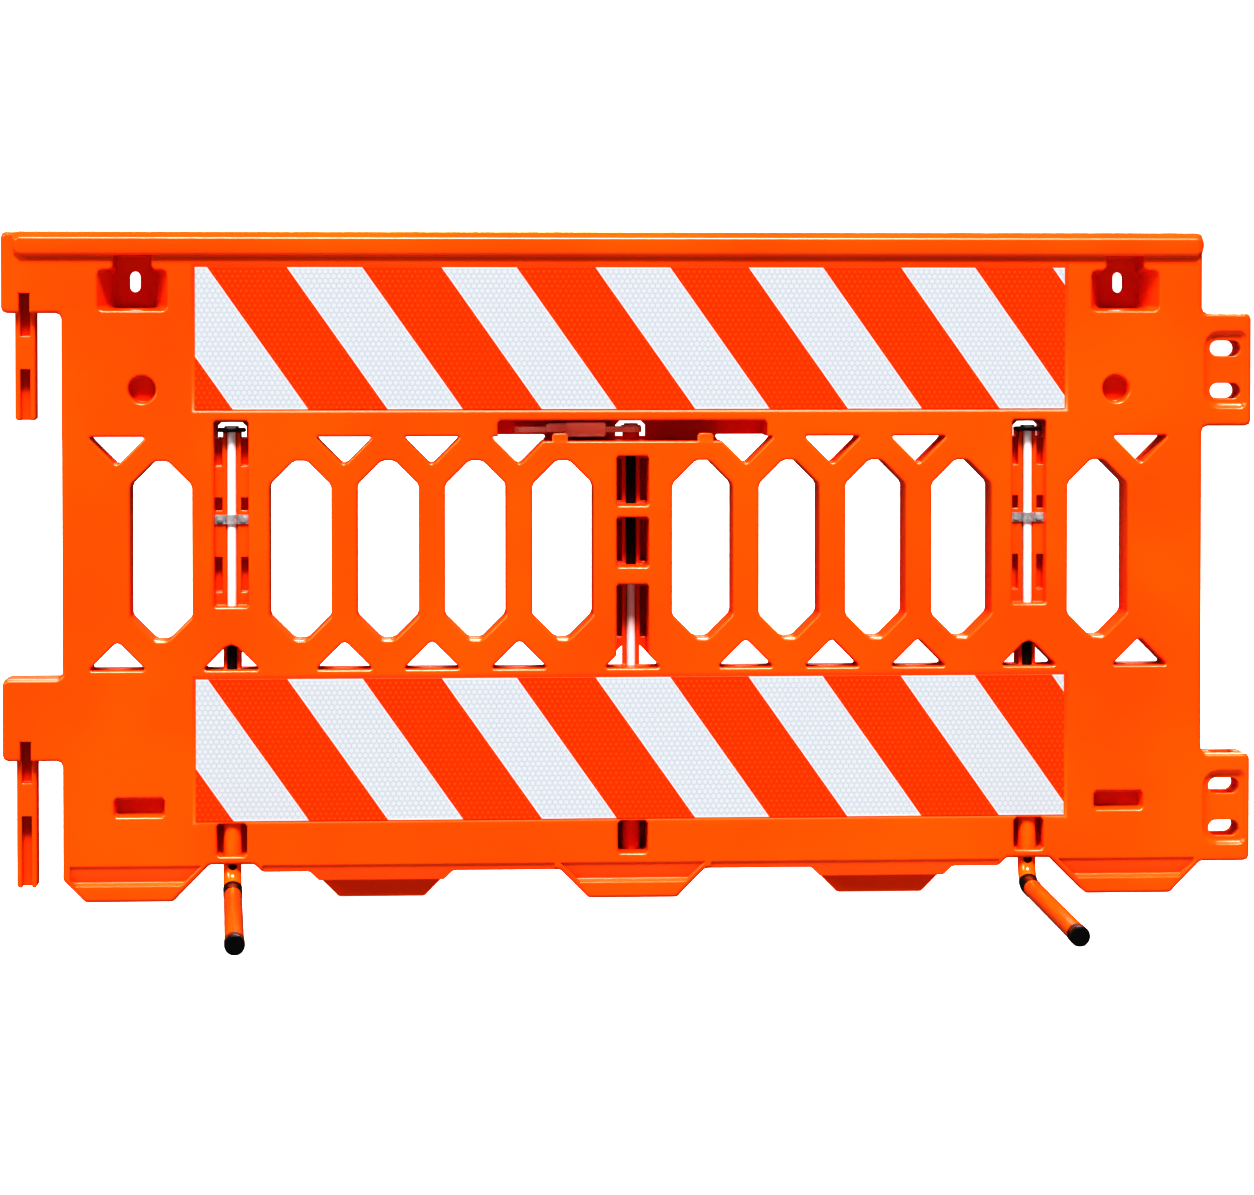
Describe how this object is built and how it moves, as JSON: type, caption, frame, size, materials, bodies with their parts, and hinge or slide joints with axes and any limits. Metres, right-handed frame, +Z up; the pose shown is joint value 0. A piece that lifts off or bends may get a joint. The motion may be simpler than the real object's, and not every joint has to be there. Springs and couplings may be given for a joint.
{
  "type": "pedestrian barrier panel",
  "caption": "Plastic pedestrian barrier panel with a hand rail, striped reflective sheeting, octagonal windows, swivelling tube legs, a swing bar, and hinge posts and ears that link panels.",
  "frame": {"origin": "on the ground at the rear edge of the middle skirt's underside, on the panel's middle plane below the middle rod", "axes": "+X along the panel to the right as seen from the front, +Y to the rear, +Z up"},
  "size_m": [1.753, 0.7361, 0.934],
  "materials": {
    "panel_plastic": "satin moulded polyethylene",
    "white_sheeting": "prismatic reflective film",
    "orange_sheeting": "translucent orange overlay film",
    "painted_tube": "glossy powder coat",
    "zinc_plated_steel": "bright zinc plate",
    "galvanised_steel": "galvanised",
    "cap_plastic": "moulded black",
    "grip_plastic": "moulded black"
  },
  "bodies": {
    "panel": {"panel_body": "panel_plastic", "front_upper_sheet": "white_sheeting", "front_upper_stripes": "orange_sheeting", "front_lower_sheet": "white_sheeting", "front_lower_stripes": "orange_sheeting", "rear_upper_sheet": "white_sheeting", "rear_upper_stripes": "orange_sheeting", "rear_lower_sheet": "white_sheeting", "rear_lower_stripes": "orange_sheeting", "left_rod_strap": "galvanised_steel", "right_rod_strap": "galvanised_steel", "left_strap_screws": "galvanised_steel", "right_strap_screws": "galvanised_steel"},
    "left_leg": {"left_pivot_rod": "zinc_plated_steel", "left_leg_tube": "painted_tube", "left_leg_sleeve": "cap_plastic", "left_rod_plug": "zinc_plated_steel", "left_cross_pin": "zinc_plated_steel", "left_leg_cap": "cap_plastic", "left_top_washer": "cap_plastic", "left_top_nut": "zinc_plated_steel"},
    "right_leg": {"right_pivot_rod": "zinc_plated_steel", "right_leg_tube": "painted_tube", "right_leg_sleeve": "cap_plastic", "right_rod_plug": "zinc_plated_steel", "right_cross_pin": "zinc_plated_steel", "right_leg_cap": "cap_plastic", "right_top_washer": "cap_plastic", "right_top_nut": "zinc_plated_steel"},
    "centre_leg": {"centre_pivot_rod": "zinc_plated_steel", "centre_leg_tube": "painted_tube", "centre_leg_sleeve": "cap_plastic", "centre_rod_plug": "zinc_plated_steel", "centre_cross_pin": "zinc_plated_steel", "centre_leg_cap": "cap_plastic", "centre_top_washer": "zinc_plated_steel", "centre_top_nut": "zinc_plated_steel"},
    "swing_bar": {"swing_bar": "zinc_plated_steel", "bar_grip": "grip_plastic"}
  },
  "joints": [
    {"name": "left_leg_swing", "type": "hinge", "parent": "panel", "child": "left_leg", "pos_m": [-0.56, -0.0145, 0.3], "axis": [0, 0, 1], "range_deg": [-3, 87]},
    {"name": "right_leg_swing", "type": "hinge", "parent": "panel", "child": "right_leg", "pos_m": [0.56, -0.0145, 0.3], "axis": [0, 0, 1], "range_deg": [-89, 1]},
    {"name": "centre_leg_swing", "type": "hinge", "parent": "panel", "child": "centre_leg", "pos_m": [0, 0.0145, 0.3], "axis": [0, 0, 1], "range_deg": [-90, 90]},
    {"name": "swing_bar_swing", "type": "hinge", "parent": "panel", "child": "swing_bar", "pos_m": [0, 0.0145, 0.6564], "axis": [0, 0, 1], "range_deg": [0, 180]}
  ]
}
